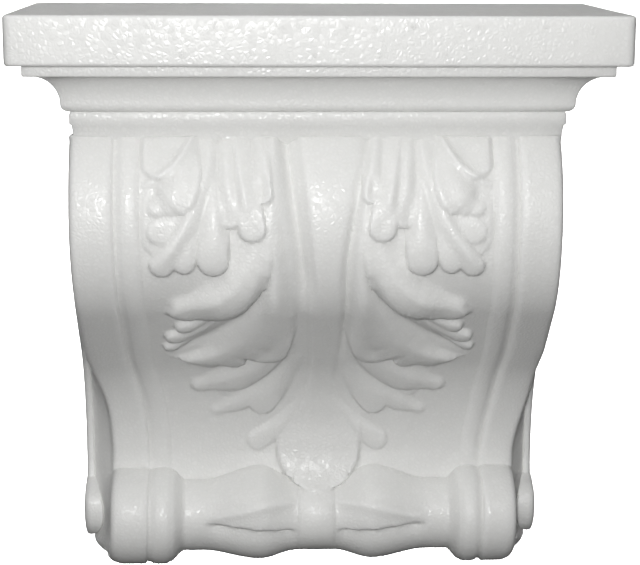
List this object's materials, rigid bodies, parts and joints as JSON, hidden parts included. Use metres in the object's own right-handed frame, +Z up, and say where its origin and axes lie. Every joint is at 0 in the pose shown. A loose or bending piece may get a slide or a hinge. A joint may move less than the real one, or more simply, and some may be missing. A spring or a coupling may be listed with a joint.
{
  "type": "corbel",
  "caption": "Moulded foam corbel with a square-edged top plate over a cove, an S-shaped body carved with acanthus leaves, and a leaf-wrapped roll at its foot",
  "frame": {"origin": "middle of the flat back face that goes against the wall", "axes": "+Y points into the wall, -Y is the front, +X is to the right seen from the front, +Z is up"},
  "size_m": [0.22, 0.0984, 0.2251],
  "materials": {
    "bead_foam": "bare moulded expanded polystyrene, white, with fine beads and a faint gloss"
  },
  "bodies": {
    "root": {"corbel": "bead_foam"}
  },
  "joints": []
}
